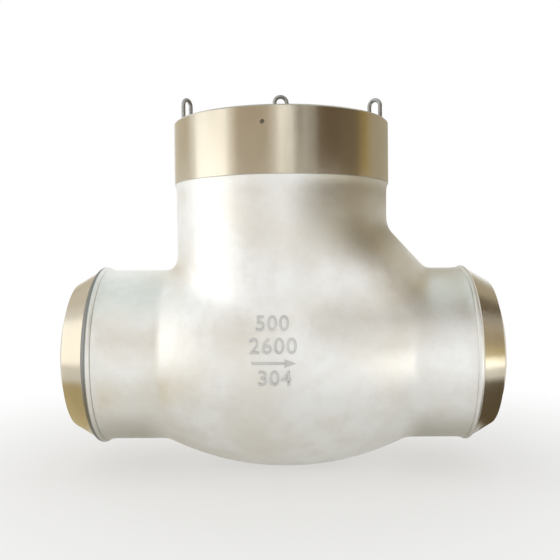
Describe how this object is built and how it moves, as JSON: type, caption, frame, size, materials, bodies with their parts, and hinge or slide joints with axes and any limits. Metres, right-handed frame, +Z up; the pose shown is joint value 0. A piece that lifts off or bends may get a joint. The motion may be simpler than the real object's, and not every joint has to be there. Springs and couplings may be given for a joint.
{
  "type": "swing check valve",
  "caption": "Butt-welding swing check valve in cast stainless steel, with an upright neck closed by a pressure-sealed bonnet and a disc hung inside from a hinge pin.",
  "frame": {"origin": "under the neck's axis and midway between the weld ends, level with the lowest point of the chamber", "axes": "+X along the flow from inlet to outlet, +Z up the neck, +Y to the far side; the hinge pin lies along Y"},
  "size_m": [1.473, 0.7856, 1.3089],
  "materials": {
    "cast_steel": "blasted stainless casting, with turned neck band and weld ends",
    "inner_cast_steel": "blasted stainless casting",
    "forged_steel": "turned stainless forging",
    "plate_steel": "faced steel plate",
    "hardfaced_steel": "ground hard facing",
    "seal_steel": "soft plated steel",
    "bolt_steel": "plain stainless bolting",
    "wire_steel": "dark drawn bar"
  },
  "bodies": {
    "root": {"body": "cast_steel", "seat_ring": "hardfaced_steel", "hinge_pin": "forged_steel", "hinge_bush_front": "hardfaced_steel", "hinge_bush_rear": "hardfaced_steel", "hinge_clips": "wire_steel", "hinge_bracket": "inner_cast_steel", "bracket_bolts": "bolt_steel", "bracket_washers": "bolt_steel", "bonnet": "forged_steel", "seal_ring": "seal_steel", "spacer_ring": "forged_steel", "thrust_segment_1": "forged_steel", "thrust_segment_2": "forged_steel", "thrust_segment_3": "forged_steel", "thrust_segment_4": "forged_steel", "retainer_plate": "plate_steel", "cover_studs": "bolt_steel", "cover_nuts": "bolt_steel", "cover_washers": "bolt_steel", "lifting_loop_left": "wire_steel", "lifting_loop_right": "wire_steel", "lifting_loop_centre": "wire_steel"},
    "arm": {"hinge_arm": "inner_cast_steel"},
    "disc": {"disc": "forged_steel", "disc_washer": "bolt_steel", "disc_nut": "bolt_steel", "disc_cotter": "wire_steel"}
  },
  "joints": [
    {"name": "disc_swing", "type": "hinge", "parent": "root", "child": "arm", "pos_m": [-0.14559, 0, 0.68664], "axis": [0, -1, 0], "range_deg": [0, 65]},
    {"name": "disc_spin", "type": "hinge", "parent": "arm", "child": "disc", "pos_m": [-0.165, 0, 0.393], "axis": [0.9945, 0, 0.1045], "continuous": true}
  ]
}
